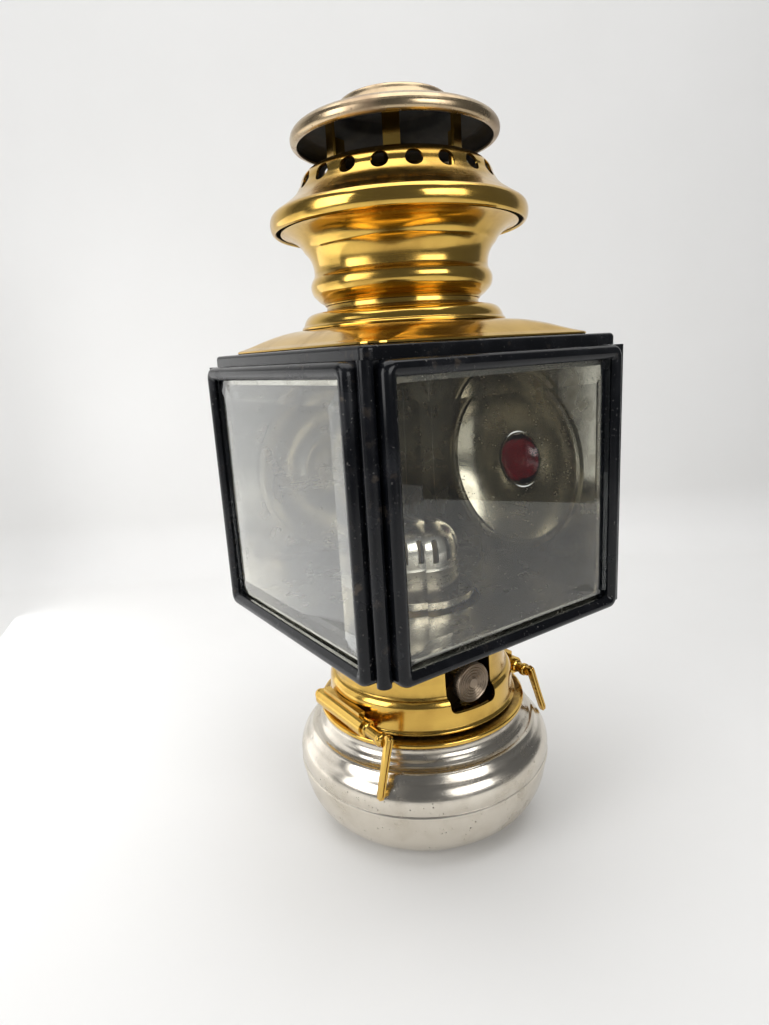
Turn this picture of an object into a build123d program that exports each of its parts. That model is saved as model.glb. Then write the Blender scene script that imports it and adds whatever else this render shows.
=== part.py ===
from build123d import *
import math
import os

# Oil side lamp: a square two-window lantern body standing on a round oil font.
# Millimetres, +Z up, origin on the lamp axis at the underside of the font.
# -X is the front window, -Y the side window, +X the tail wall, +Y the bracket wall.

# Driving sizes of the whole lamp.
BODY_HALF = 54.0
BODY_Z0 = 91.0
BODY_Z1 = 188.0
FONT_R = 52.3
CHIMNEY_R = 33.5

# Sheet metal and fits.
SHEET = 0.8
WALL = 1.2
TOUCH = 0.05
GAP = 0.4
RUN = 0.06

# Windows.
FRAME_HALF = 51.8
FRAME_BAR = 5.0
FRAME_DEPTH = 6.0
FRAME_RADIUS = 4.0
GLASS_T = 3.8
BEVEL_W = 9.0
BEVEL_D = 1.2
POST_R = 2.4

# Font and its throat.
SEAM_Z = 25.3
STEP_Z = 40.1
DECK_Z = 47.0
THROAT_TOP = 57.0
FILL_R = 12.0

# Burner.
BURNER_R = 14.0
BURNER_TOP = 92.0
GALLERY_R = 22.4
SKIRT_R = 16.6
DOME_Z = 109.0
DOME_TOP = 124.0
SHAFT_X = -1.2
SHAFT_Z = 66.0
SHAFT_R = 1.0
SPUR_R = 2.2
WHEEL_R = 8.0
WHEEL_T = 3.6
WICK_T = 2.0
WICK_W = 14.0
WICK_Z0 = 8.0
WICK_TUBE_WALL = 0.5
THREAD_DEPTH = 5.0

# Cam latches.
PIN_Z = 53.5
PIN_R = 2.7
BARREL_R = 3.6
BARREL_FRONT = -17.0
BARREL_REAR = 15.0
LEVER_LEN = 20.5
LEVER_W = 3.4
LEVER_T = 2.0
FRONT_LEAN = 13.0
TAIL_LEAN = 20.0
NECK_R = 2.1
BALL_R = 2.4

# Chimney.
ROOF_HALF = 49.0
VENT_HOLES = 20
CAP_POSTS = 6
POST_TURN = -128.8
CAP_R = 37.0
LAMP_TOP = 276.2
HOLE_R = 2.9
HOLE_TILT = 54.0
POST_W = 5.6
POST_T = 1.0

# Reflectors and tail jewel.
DISH_R = 39.0
DISH_Z = 140.6
DISH_DEPTH = 7.0
JEWEL_R = 11.5

# Bracket.
STRAP_W = 18.0
STRAP_T = 2.2
SOCKET_R = 6.4
SOCKET_WALL = 2.6
SOCKET_LEN = 34.0

# Lengths that several pieces share.
COLLAR_R = FONT_R - 14.9
THROAT_R = COLLAR_R - GAP
WHEEL_FACE = COLLAR_R - 2.2
PIN_X = COLLAR_R + 1.8
FRONT_LEVER_Y = -0.593 * FONT_R
TAIL_LEVER_Y = -0.507 * FONT_R
CHAMBER_IN = BODY_HALF - WALL
FACE = BODY_HALF + FRAME_DEPTH
WICK_X = SHAFT_X + SPUR_R + 0.35 + WICK_T / 2
BARREL_LEN = BARREL_REAR - BARREL_FRONT
BARREL_MID = (BARREL_REAR + BARREL_FRONT) / 2
POST_H = BODY_Z1 - BODY_Z0
POST_MID = (BODY_Z0 + BODY_Z1) / 2
THROUGH = 400.0

os.makedirs("parts", exist_ok=True)


def save(body, name):
    body.label = name
    export_step(body, "parts/" + name + ".step")


def turned(outline):
    """A closed outline of radius and height points turned about the lamp axis."""
    with BuildPart() as piece:
        with BuildSketch(Plane.XZ):
            with BuildLine():
                Polyline(*outline, close=True)
            make_face()
        revolve(axis=Axis.Z)
    return piece.part


def sheet(outer, thick):
    """The closed outline of a thin sheet: its outer line and the same line moved inward."""
    inner = []
    for i in range(len(outer)):
        a = outer[max(i - 1, 0)]
        b = outer[min(i + 1, len(outer) - 1)]
        run = math.hypot(b[0] - a[0], b[1] - a[1])
        nx = -(b[1] - a[1]) / run
        nz = (b[0] - a[0]) / run
        inner.append((max(outer[i][0] + nx * thick, 0), outer[i][1] + nz * thick))
    return outer + inner[::-1]


def arc_points(start, end, bulge, steps=8):
    """Points on a curve from start to end whose middle stands off the chord by bulge."""
    length = math.hypot(end[0] - start[0], end[1] - start[1])
    nx = (end[1] - start[1]) / length
    nz = -(end[0] - start[0]) / length
    points = []
    for i in range(steps + 1):
        t = i / steps
        off = 4 * bulge * t * (1 - t)
        px = start[0] + (end[0] - start[0]) * t + nx * off
        pz = start[1] + (end[1] - start[1]) * t + nz * off
        points.append((px, pz))
    return points


# Font bowl: the pressed lower half of the oil font, open at the seam.
foot_r = FONT_R - 18
bowl_line = [(0, 0), (foot_r, 0)]
bowl_line += arc_points((foot_r + 1, 0), (FONT_R - 0.4, SEAM_Z - 1.2), 5.0)
with BuildPart() as font_bowl:
    add(turned(sheet(bowl_line, SHEET)))
save(font_bowl.part, "font_bowl")

# Font top: rolled seam, round shoulder, step and the short neck up to the deck.
top_line = [(FONT_R - 1.2, SEAM_Z - 1.1), (FONT_R + 0.1, SEAM_Z - 0.9), (FONT_R + 0.3, SEAM_Z)]
top_line += arc_points((FONT_R, SEAM_Z + 1), (FONT_R - 3.6, STEP_Z - 3.2), 1.6, 6)
top_line += arc_points((FONT_R - 4.6, STEP_Z - 1.6), (FONT_R - 7.2, STEP_Z), 0.5, 3)
top_line += [(FONT_R - 8.4, STEP_Z + 0.6)]
top_line += arc_points((FONT_R - 9.4, STEP_Z + 1.6), (FONT_R - 11.6, DECK_Z - 1), -0.7, 4)
top_line += [(FONT_R - 12.4, DECK_Z), (FILL_R + 3, DECK_Z)]
with BuildPart() as font_top:
    add(turned(sheet(top_line, SHEET)))
save(font_top.part, "font_top")

# Throat ring: the brass ring on the font deck that plugs into the lantern collar.
# A groove round it takes the two latch pins.
groove_half = math.sqrt(PIN_R ** 2 - (PIN_X - THROAT_R) ** 2) + GAP
groove_r = PIN_X - PIN_R - 0.3
ring_base = DECK_Z + TOUCH
ring_in = THROAT_R - 3.4
lip_r = FONT_R - 9.5
with BuildPart() as throat_ring:
    with BuildSketch(Plane.XZ):
        with BuildLine():
            Polyline(
                (ring_in, ring_base), (lip_r - 0.9, ring_base), (lip_r, ring_base + 0.7),
                (lip_r, ring_base + 1.5), (lip_r - 1.1, ring_base + 2.2),
                (COLLAR_R + 0.4, ring_base + 2.2), (THROAT_R, ring_base + 2.6),
                (THROAT_R, PIN_Z - groove_half), (groove_r, PIN_Z - groove_half),
                (groove_r, PIN_Z + groove_half), (THROAT_R, PIN_Z + groove_half),
                (THROAT_R, THROAT_TOP - 0.8), (THROAT_R - 0.8, THROAT_TOP),
                (ring_in, THROAT_TOP), close=True)
        make_face()
    revolve(axis=Axis.Z)
save(throat_ring.part, "throat_ring")

# Burner collar: the threaded mouth of the font.
mouth_r = FILL_R + 3
with BuildPart() as burner_collar:
    with BuildSketch(Plane.XZ):
        with BuildLine():
            Polyline(
                (FILL_R, DECK_Z - 3), (mouth_r - TOUCH, DECK_Z - 3),
                (mouth_r - TOUCH, DECK_Z + TOUCH), (mouth_r + 1.5, DECK_Z + TOUCH),
                (mouth_r + 1.5, DECK_Z + 4), (FILL_R, DECK_Z + 4), close=True)
        make_face()
    revolve(axis=Axis.Z)
save(burner_collar.part, "burner_collar")

# Burner body: the screwed base, its cup and the tall sleeve that feeds air.
cup_z = DECK_Z + 4 + TOUCH
cup_h = 3.0
tube_x = WICK_T + 2 * GAP + 2 * WICK_TUBE_WALL
tube_y = WICK_W + 2 * GAP + 2 * WICK_TUBE_WALL
with BuildPart() as burner_body:
    with BuildSketch(Plane.XY.offset(DECK_Z - THREAD_DEPTH)):
        Circle(FILL_R - TOUCH)
    extrude(amount=cup_z + cup_h - DECK_Z + THREAD_DEPTH)
    with BuildSketch(Plane.XY.offset(cup_z)):
        Circle(FILL_R + 5)
    extrude(amount=cup_h)
    with BuildSketch(Plane.XY.offset(cup_z + cup_h)):
        Circle(BURNER_R)
        Circle(BURNER_R - 1, mode=Mode.SUBTRACT)
    extrude(amount=BURNER_TOP - cup_z - cup_h)
    with BuildSketch(Plane.XY.offset(DECK_Z - THREAD_DEPTH - 1)):
        with Locations((WICK_X, 0)):
            Rectangle(tube_x + 2 * TOUCH, tube_y + 2 * TOUCH)
    extrude(amount=20, mode=Mode.SUBTRACT)
    with Locations((SHAFT_X, -BURNER_R, SHAFT_Z), (SHAFT_X, BURNER_R, SHAFT_Z)):
        Cylinder(SHAFT_R + RUN, 6, rotation=(90, 0, 0), mode=Mode.SUBTRACT)
    with Locations((0, 0, BURNER_TOP - 9)):
        with PolarLocations(BURNER_R - 0.5, 8, 22.5):
            Box(4, 4, 8, mode=Mode.SUBTRACT)
save(burner_body.part, "burner_body")

# Wick tube: a flat brass tube with windows where the spur wheels bite the wick.
tube_bottom = DECK_Z - THREAD_DEPTH
tube_top = DOME_TOP - 8
spur_room = 2 * (SPUR_R + GAP)
with BuildPart() as wick_tube:
    with BuildSketch(Plane.XY.offset(tube_bottom)):
        with Locations((WICK_X, 0)):
            Rectangle(tube_x, tube_y)
            Rectangle(tube_x - 2 * WICK_TUBE_WALL, tube_y - 2 * WICK_TUBE_WALL, mode=Mode.SUBTRACT)
    extrude(amount=tube_top - tube_bottom)
    with Locations((SHAFT_X, 0, SHAFT_Z)):
        Box(spur_room + 0.6, WICK_W - 1, spur_room + 1, mode=Mode.SUBTRACT)
save(wick_tube.part, "wick_tube")

# Wick: flat woven strip hanging in the oil and standing just proud of its tube.
with BuildPart() as wick:
    with BuildSketch(Plane.XY.offset(WICK_Z0)):
        with Locations((WICK_X, 0)):
            RectangleRounded(WICK_T, WICK_W, 0.6)
    extrude(amount=tube_top + 1.2 - WICK_Z0)
save(wick.part, "wick")

# Wick shaft: thin rod with two toothed spur wheels.
shaft_back = BURNER_R + 0.8
shaft_front = WHEEL_FACE - WHEEL_T + TOUCH
spur_w = 1.6
with BuildPart() as wick_shaft:
    with Locations(Location((SHAFT_X, (shaft_back - shaft_front) / 2, SHAFT_Z), (90, 0, 0))):
        Cylinder(SHAFT_R, shaft_back + shaft_front)
    for y in (-4.0, 4.0):
        with Locations(Location((SHAFT_X, y, SHAFT_Z), (90, 0, 0))):
            Cylinder(SPUR_R - 0.5, spur_w)
            with PolarLocations(SPUR_R - 0.6, 8):
                Box(1.2, 0.7, spur_w)
save(wick_shaft.part, "wick_shaft")

# Wick wheel: the milled thumb disc with a ring sunk in its outer face.
with BuildPart() as wick_wheel:
    with BuildSketch(Plane.XZ.offset(WHEEL_FACE - WHEEL_T + TOUCH)):
        with Locations((SHAFT_X, SHAFT_Z)):
            Circle(WHEEL_R - 0.25)
    extrude(amount=WHEEL_T - TOUCH)
    with BuildSketch(Plane.XZ.offset(WHEEL_FACE - 0.5)):
        with Locations((SHAFT_X, SHAFT_Z)):
            Circle(WHEEL_R - 1.6)
            Circle(WHEEL_R - 4.2, mode=Mode.SUBTRACT)
    extrude(amount=1, mode=Mode.SUBTRACT)
    with Locations(Location((SHAFT_X, -WHEEL_FACE + WHEEL_T / 2, SHAFT_Z), (90, 0, 0))):
        with PolarLocations(WHEEL_R - 0.3, 40):
            Box(0.6, 0.6, WHEEL_T - 1.2)
save(wick_wheel.part, "wick_wheel")

# Gallery ring: perforated rim the burner dome stands on.
gallery_z = BURNER_TOP + TOUCH
with BuildPart() as gallery_ring:
    with BuildSketch(Plane.XZ):
        with BuildLine():
            Polyline(
                (BURNER_R - 2.5, gallery_z), (GALLERY_R, gallery_z), (GALLERY_R, gallery_z + 4.4),
                (GALLERY_R - SHEET, gallery_z + 4.4), (GALLERY_R - SHEET, gallery_z + 0.9),
                (BURNER_R - 2.5, gallery_z + 0.9), close=True)
        make_face()
    revolve(axis=Axis.Z)
    with Locations((0, 0, gallery_z)):
        with PolarLocations(SKIRT_R + 3, 24):
            Cylinder(1.1, 6, mode=Mode.SUBTRACT)
save(gallery_ring.part, "gallery_ring")

# Burner skirt: plain nickelled sleeve under the dome.
skirt_z = BURNER_TOP + 1 + TOUCH
with BuildPart() as burner_skirt:
    with BuildSketch(Plane.XY.offset(skirt_z)):
        Circle(SKIRT_R)
        Circle(SKIRT_R - SHEET, mode=Mode.SUBTRACT)
    extrude(amount=DOME_Z - skirt_z)
save(burner_skirt.part, "burner_skirt")

# Burner dome: rounded cap with arched air slots and the long flame slot.
dome_line = [(SKIRT_R, DOME_Z + TOUCH)]
dome_line += arc_points((SKIRT_R, DOME_Z + 2), (SKIRT_R - 9, DOME_TOP), 3.0, 8)
dome_line += [(0, DOME_TOP + 0.4)]
slot_w = 2.6
with BuildPart() as burner_dome:
    add(turned(sheet(dome_line, SHEET)))
    with Locations((WICK_X, 0, DOME_TOP)):
        Box(WICK_T + 2.6, WICK_W + 3, 8, mode=Mode.SUBTRACT)
    with Locations((0, 0, DOME_Z + 5)):
        with PolarLocations(SKIRT_R - 1, 16, 11.25):
            Box(8, slot_w, 7, mode=Mode.SUBTRACT)
    with Locations((0, 0, DOME_Z + 8.5)):
        with PolarLocations(SKIRT_R - 1, 16, 11.25):
            Cylinder(slot_w / 2, 8, rotation=(0, 90, 0), mode=Mode.SUBTRACT)
save(burner_dome.part, "burner_dome")

# Base collar: the brass throat under the lantern body, flared at its mouth.
# It has the thumb wheel's window and a notch at each latch barrel.
mouth_z = ring_base + 3.5
collar_line = [(COLLAR_R + 1.9, mouth_z), (COLLAR_R + 1.7, mouth_z + 0.6), (COLLAR_R + 0.9, mouth_z + 1.4)]
collar_line += [(COLLAR_R + 0.75, mouth_z + 6.5), (COLLAR_R + 0.6, mouth_z + 9.4)]
collar_line += arc_points((COLLAR_R + 0.3, mouth_z + 10.6), (COLLAR_R - 1.6, mouth_z + 13), 0.4, 4)
collar_line += [(COLLAR_R - 2.0, mouth_z + 16), (COLLAR_R - 2.4, BODY_Z0 - TOUCH)]
collar_wall = [(r - SHEET, z) for r, z in collar_line]
window_low = SHAFT_Z - WHEEL_R - 0.6
window_high = SHAFT_Z + WHEEL_R + 2.4
with BuildPart() as base_collar:
    add(turned(collar_line + collar_wall[::-1]))
    with Locations((SHAFT_X - 1.5, -COLLAR_R, (window_low + window_high) / 2)):
        Box(2 * WHEEL_R + 5, 12, window_high - window_low, mode=Mode.SUBTRACT)
    with Locations((-PIN_X, BARREL_MID, PIN_Z), (PIN_X, BARREL_MID, PIN_Z)):
        Cylinder(BARREL_R + TOUCH, BARREL_LEN + 2 * TOUCH, rotation=(90, 0, 0), mode=Mode.SUBTRACT)
save(base_collar.part, "base_collar")

# Latches: a barrel soldered to the collar each side, a cam pin with a flat, and its lever.
pin_back = BARREL_REAR + 1.2
neck_end = BARREL_FRONT - 1.5
flat_off = THROAT_R + GAP + 0.1
flat_in = PIN_X - PIN_R - 1
latches = ((-1, FRONT_LEAN, FRONT_LEVER_Y, "front"), (1, TAIL_LEAN, TAIL_LEVER_Y, "tail"))
for side, lean, lever_y, name in latches:
    with BuildPart() as barrel:
        with Locations((side * (PIN_X - 0.2), BARREL_MID, mouth_z + 4.2)):
            Box(2.6, BARREL_LEN - 6, 8)
        Cylinder(COLLAR_R + 0.95, THROUGH, mode=Mode.SUBTRACT)
        with Locations((side * PIN_X, BARREL_MID, PIN_Z)):
            Cylinder(BARREL_R, BARREL_LEN, rotation=(90, 0, 0))
            Cylinder(PIN_R + RUN, BARREL_LEN + 2, rotation=(90, 0, 0), mode=Mode.SUBTRACT)
        Cylinder(COLLAR_R + 0.1, THROUGH, mode=Mode.SUBTRACT)
    save(barrel.part, "latch_barrel_" + name)
    pin_front = lever_y + LEVER_W / 2 + TOUCH
    with BuildPart() as pin:
        with Locations((side * PIN_X, (neck_end + pin_back) / 2, PIN_Z)):
            Cylinder(PIN_R, pin_back - neck_end, rotation=(90, 0, 0))
        with Locations((side * (flat_in + flat_off) / 2, 0, PIN_Z)):
            Box(flat_off - flat_in, 26, 2 * PIN_R + 1, mode=Mode.SUBTRACT)
        with Locations((side * PIN_X, (pin_front + neck_end) / 2, PIN_Z)):
            Cylinder(NECK_R, neck_end - pin_front, rotation=(90, 0, 0))
        with Locations((side * PIN_X, pin_back + 1.0, PIN_Z)):
            Sphere(BALL_R)
    save(pin.part, "latch_pin_" + name)
    tilt = math.radians(side * lean)
    lever_face = Plane(
        origin=(side * PIN_X, lever_y, PIN_Z), x_dir=(0, 1, 0), z_dir=(math.cos(tilt), 0, math.sin(tilt)))
    with BuildPart() as lever:
        with BuildSketch(lever_face):
            with Locations((0, 1 - LEVER_LEN / 2)):
                SlotOverall(LEVER_LEN + 4, LEVER_W, rotation=90)
        extrude(amount=LEVER_T / 2, both=True)
    save(lever.part, "latch_lever_" + name)

# Floor plate: the bottom of the lantern body with the burner opening.
floor_w = 2 * (CHAMBER_IN - GAP)
with BuildPart() as floor_plate:
    with Locations((0, 0, BODY_Z0 + WALL / 2)):
        Box(floor_w, floor_w, WALL)
    Cylinder(GALLERY_R + 2.2, THROUGH, mode=Mode.SUBTRACT)
save(floor_plate.part, "floor_plate")

# Corner posts: a rounded bead on each corner with two flanges behind the windows.
flange = BODY_HALF - FRAME_HALF + FRAME_BAR + 2
bead_off = BODY_HALF + 0.4
flange_mid = BODY_HALF - flange / 2
sheet_mid = BODY_HALF - WALL / 2
for sx, sy, name in ((-1, -1, "near"), (1, -1, "right"), (-1, 1, "left"), (1, 1, "far")):
    with BuildPart() as post:
        with Locations((sx * bead_off, sy * bead_off, POST_MID)):
            Cylinder(POST_R, POST_H)
        with Locations((sx * flange_mid, sy * sheet_mid, POST_MID)):
            Box(flange, WALL, POST_H)
        with Locations((sx * sheet_mid, sy * flange_mid, POST_MID)):
            Box(WALL, flange, POST_H)
    save(post.part, "corner_post_" + name)

# Tail and bracket walls: flat sheets between the posts, each with a round opening.
wall_w = 2 * (BODY_HALF - flange - TOUCH)
opening_r = DISH_R - 2.5
with BuildPart() as tail_wall:
    with Locations((sheet_mid, 0, POST_MID)):
        Box(WALL, wall_w, POST_H)
    with Locations((BODY_HALF, 0, DISH_Z)):
        Cylinder(opening_r, 10, rotation=(0, 90, 0), mode=Mode.SUBTRACT)
save(tail_wall.part, "tail_wall")
with BuildPart() as bracket_wall:
    with Locations((0, sheet_mid, POST_MID)):
        Box(wall_w, WALL, POST_H)
    with Locations((0, BODY_HALF, DISH_Z)):
        Cylinder(opening_r, 10, rotation=(90, 0, 0), mode=Mode.SUBTRACT)
save(bracket_wall.part, "bracket_wall")

# Window frames: moulded bars with rounded edges, standing proud of the body.
frame_z0 = BODY_Z0 - 1.2
frame_z1 = BODY_Z1
frame_h = frame_z1 - frame_z0
frame_mid = (frame_z0 + frame_z1) / 2
open_half = FRAME_HALF - FRAME_BAR
open_h = frame_h - 2 * FRAME_BAR
rebate = 1.8
with BuildPart() as frame_side:
    with BuildSketch(Plane.XZ.offset(BODY_HALF + TOUCH)):
        with Locations((0, frame_mid)):
            RectangleRounded(2 * FRAME_HALF, frame_h, FRAME_RADIUS)
    extrude(amount=FRAME_DEPTH - TOUCH)
    fillet(frame_side.faces().sort_by(Axis.Y)[0].edges(), radius=1.8)
    with BuildSketch(Plane.XZ.offset(BODY_HALF)):
        with Locations((0, frame_mid)):
            RectangleRounded(2 * open_half, open_h, 1.0)
    extrude(amount=FRAME_DEPTH + 2, mode=Mode.SUBTRACT)
    fillet(frame_side.faces().sort_by(Axis.Y)[0].inner_wires()[0].edges(), radius=1.2)
    with BuildSketch(Plane.XZ.offset(BODY_HALF)):
        with Locations((0, frame_mid)):
            Rectangle(2 * (open_half + rebate), open_h + 2 * rebate)
    extrude(amount=FRAME_DEPTH - rebate, mode=Mode.SUBTRACT)
quarter_turn = Rot(0, 0, -90)
save(frame_side.part, "frame_side")
save(quarter_turn * frame_side.part, "frame_front")

# Window panes: thick plate glass with a wide bevel ground all round the outside.
pane_half = open_half + 1.3
pane_h = open_h + 2.6
pane_face = FACE - rebate - 0.3
pane_back = pane_face - GLASS_T
with BuildPart() as glass_side:
    with BuildSketch(Plane.XZ.offset(pane_face - BEVEL_D)):
        with Locations((0, frame_mid)):
            Rectangle(2 * pane_half, pane_h)
    with BuildSketch(Plane.XZ.offset(pane_face)):
        with Locations((0, frame_mid)):
            Rectangle(2 * (pane_half - BEVEL_W), pane_h - 2 * BEVEL_W)
    loft()
    with BuildSketch(Plane.XZ.offset(pane_back)):
        with Locations((0, frame_mid)):
            Rectangle(2 * pane_half, pane_h)
    extrude(amount=GLASS_T - BEVEL_D)
save(glass_side.part, "glass_side")
save(quarter_turn * glass_side.part, "glass_front")

# Glazing frames: folded strips inside the body that hold each pane from behind.
glaze_back = CHAMBER_IN - 1.35
with BuildPart() as glazing_side:
    with BuildSketch(Plane.XZ.offset(glaze_back)):
        with Locations((0, frame_mid)):
            Rectangle(2 * open_half + 3, open_h + 3)
            Rectangle(2 * open_half - 4, open_h - 4, mode=Mode.SUBTRACT)
    extrude(amount=pane_back - glaze_back - TOUCH)
    with Locations((-flange_mid, -sheet_mid, POST_MID), (flange_mid, -sheet_mid, POST_MID)):
        Box(flange + 2 * GAP, WALL + 2 * TOUCH, THROUGH, mode=Mode.SUBTRACT)
save(glazing_side.part, "glazing_side")
save(quarter_turn * glazing_side.part, "glazing_front")

# Top cornice: the black moulding between the windows and the brass roof.
cornice_w = 2 * BODY_HALF + 1
cornice_h = 4.1
cornice_hole = 2 * CHAMBER_IN - 14
with BuildPart() as top_cornice:
    with BuildSketch(Plane.XY.offset(BODY_Z1 + TOUCH)):
        RectangleRounded(cornice_w, cornice_w, 3)
        Rectangle(cornice_hole, cornice_hole, mode=Mode.SUBTRACT)
    extrude(amount=cornice_h)
    fillet(top_cornice.faces().sort_by(Axis.Z)[-1].outer_wire().edges(), radius=1.5)
save(top_cornice.part, "top_cornice")

# Ceiling plate: nickelled heat plate under the roof with the flue opening.
flue_r = CHIMNEY_R - 9.5
with BuildPart() as ceiling_plate:
    with Locations((0, 0, BODY_Z1 - WALL / 2 - TOUCH)):
        Box(2 * CHAMBER_IN - 2, 2 * CHAMBER_IN - 2, WALL)
    Cylinder(flue_r, THROUGH, mode=Mode.SUBTRACT)
save(ceiling_plate.part, "ceiling_plate")

# Roof: a low soft-cornered pyramid of brass rising to the chimney, hollow underneath.
roof_z = BODY_Z1 + cornice_h + 2 * TOUCH
roof_rise = 7.0
roof_w = 2 * ROOF_HALF
with BuildPart() as roof:
    with BuildSketch(Plane.XY.offset(roof_z)):
        RectangleRounded(roof_w, roof_w, 7)
    extrude(amount=1.0)
    with BuildSketch(Plane.XY.offset(roof_z + 1.0)):
        RectangleRounded(roof_w, roof_w, 7)
    with BuildSketch(Plane.XY.offset(roof_z + roof_rise)):
        RectangleRounded(roof_w - 24, roof_w - 24, 30)
    loft()
    with BuildSketch(Plane.XY.offset(roof_z - 0.5)):
        RectangleRounded(roof_w - 4, roof_w - 4, 5)
    with BuildSketch(Plane.XY.offset(roof_z + roof_rise - SHEET - 0.6)):
        RectangleRounded(roof_w - 26, roof_w - 26, 29)
    loft(mode=Mode.SUBTRACT)
    Cylinder(CHIMNEY_R - 6, THROUGH + 2 * roof_z, mode=Mode.SUBTRACT)
save(roof.part, "roof")

# Chimney base: the rounded brass flange on the roof.
flange_z = roof_z + roof_rise + TOUCH
neck_z = flange_z + 8.2
base_line = [(CHIMNEY_R + 4.4, flange_z), (CHIMNEY_R + 4.4, flange_z + 0.8)]
base_line += arc_points((CHIMNEY_R + 3.6, flange_z + 1.8), (CHIMNEY_R - 2.0, flange_z + 5.6), 1.2, 6)
base_line += [(CHIMNEY_R - 5.2, flange_z + 6.2), (CHIMNEY_R - 5.4, neck_z - TOUCH)]
with BuildPart() as chimney_base:
    add(turned(sheet(base_line, SHEET)))
save(chimney_base.part, "chimney_base")

# Chimney bell: grooved neck, rounded bead, waist and the bell that flares under the brim.
bell_line = [(CHIMNEY_R - 4.8, neck_z), (CHIMNEY_R - 3.4, neck_z + 1.2), (CHIMNEY_R - 1.2, neck_z + 3.6)]
bell_line += arc_points((CHIMNEY_R - 0.6, neck_z + 4.4), (CHIMNEY_R - 1.2, neck_z + 9.8), 0.9, 6)
bell_line += arc_points((CHIMNEY_R - 1.5, neck_z + 11), (CHIMNEY_R + 1.4, neck_z + 19.2), -0.9, 8)
bell_line += arc_points((CHIMNEY_R + 2.2, neck_z + 20.3), (CHIMNEY_R + 9.6, neck_z + 25.2), -0.7, 4)
with BuildPart() as chimney_bell:
    add(turned(sheet(bell_line, SHEET)))
save(chimney_bell.part, "chimney_bell")

# Vent crown: wide rolled brim, hollow flare and the pierced shoulder above it.
brim_z = neck_z + 28.6
brim_r = CHIMNEY_R + 12.8
lip_in = brim_r - 21.0
crown_line = [(brim_r - 1.4, brim_z - 3.8), (brim_r - 0.3, brim_z - 2.2), (brim_r, brim_z)]
crown_line += [(brim_r - 0.4, brim_z + 1.6), (brim_r - 2.4, brim_z + 3.4), (brim_r - 4.4, brim_z + 4.7)]
crown_line += [(brim_r - 7.2, brim_z + 6.6), (brim_r - 9.6, brim_z + 8.8), (brim_r - 11.0, brim_z + 10.9)]
crown_line += arc_points((brim_r - 11.6, brim_z + 12.0), (brim_r - 18.0, brim_z + 17.6), 1.5, 8)
crown_line += [(brim_r - 19.6, brim_z + 17.8), (lip_in, brim_z + 17.0)]
with BuildPart() as vent_crown:
    add(turned(sheet(crown_line, SHEET)))
    with Locations((0, 0, brim_z + 12.0)):
        with PolarLocations(brim_r - 11.8, VENT_HOLES, 180 / VENT_HOLES):
            Cylinder(HOLE_R, 8, rotation=(0, HOLE_TILT, 0), mode=Mode.SUBTRACT)
save(vent_crown.part, "vent_crown")

# Cap spider: a ring inside the crown, and the upright strips against the crown's lip that
# are riveted to it and carry the cap.
strip_out = lip_in - 0.25
ring_out = strip_out - POST_T - TOUCH
spider_z = brim_z + 11
cap_rim = brim_z + 27.4
cap_seat = cap_rim + 4.8
with BuildPart() as spider_ring:
    with BuildSketch(Plane.XY.offset(spider_z)):
        Circle(ring_out)
        Circle(ring_out - 1, mode=Mode.SUBTRACT)
    extrude(amount=3)
save(spider_ring.part, "spider_ring")
for i in range(CAP_POSTS):
    with BuildPart() as strip:
        with BuildSketch(Plane.XY.offset(spider_z)):
            with PolarLocations(strip_out - POST_T / 2, 1, POST_TURN + 360 / CAP_POSTS * i):
                Rectangle(POST_T, POST_W)
        extrude(amount=cap_seat - spider_z)
    save(strip.part, "cap_post_" + str(i + 1))

# Cap: pressed dome with a rolled rim and a raised centre.
cap_line = [(CAP_R - 2.2, cap_rim - 2.4), (CAP_R - 0.7, cap_rim - 2.0), (CAP_R, cap_rim)]
cap_line += arc_points((CAP_R - 0.6, cap_rim + 2.0), (CAP_R - 6, cap_rim + 4.0), 0.6, 6)
cap_line += arc_points((CAP_R - 8, cap_rim + 4.6), (CAP_R - 16, cap_rim + 7.6), -0.3, 4)
cap_line += arc_points((CAP_R - 18, cap_rim + 11.2), (3, LAMP_TOP), 1.2, 6)
cap_line += [(0, LAMP_TOP)]
with BuildPart() as cap:
    add(turned(sheet(cap_line, SHEET)))
save(cap.part, "cap")

# Inner flue: the sooty tube that carries the heat up to the crown, with a foot flange.
flue_bottom = BODY_Z1 + TOUCH
flue_in = flue_r + SHEET
with BuildPart() as inner_flue:
    with BuildSketch(Plane.XY.offset(flue_bottom)):
        Circle(flue_r + 4)
        Circle(flue_in, mode=Mode.SUBTRACT)
    extrude(amount=1)
    with BuildSketch(Plane.XY.offset(flue_bottom)):
        Circle(flue_in + SHEET)
        Circle(flue_in, mode=Mode.SUBTRACT)
    extrude(amount=neck_z + 18 - flue_bottom)
save(inner_flue.part, "inner_flue")

# Reflectors: round dished mirrors set in the tail and bracket walls from inside.
# They are drawn about the Z axis, opening downward, and turned into place.
to_tail = Pos(BODY_HALF, 0, DISH_Z) * Rot(0, 90, 0)
to_bracket = Pos(0, BODY_HALF, DISH_Z) * Rot(-90, 0, 0)
rim_z = -WALL - SHEET - TOUCH
dish_curve = arc_points((DISH_R - 3.0, 0.2), (JEWEL_R + 1.0, DISH_DEPTH - 1.2), 2.0, 8)
dish_back = [(r - 0.15, z - SHEET) for r, z in reversed(dish_curve)]
dish_rim = [(DISH_R, rim_z - 0.5), (DISH_R, rim_z + SHEET), (DISH_R - 2.9, rim_z + SHEET)]
rim_back = [(DISH_R - 3.4, rim_z), (DISH_R - 0.8, rim_z), (DISH_R - 0.8, rim_z - 0.5)]
dish_peak = [(JEWEL_R - 4, DISH_DEPTH - 0.5), (0, DISH_DEPTH - 0.2)]
peak_back = [(r, z - SHEET) for r, z in reversed(dish_peak)]
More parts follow.
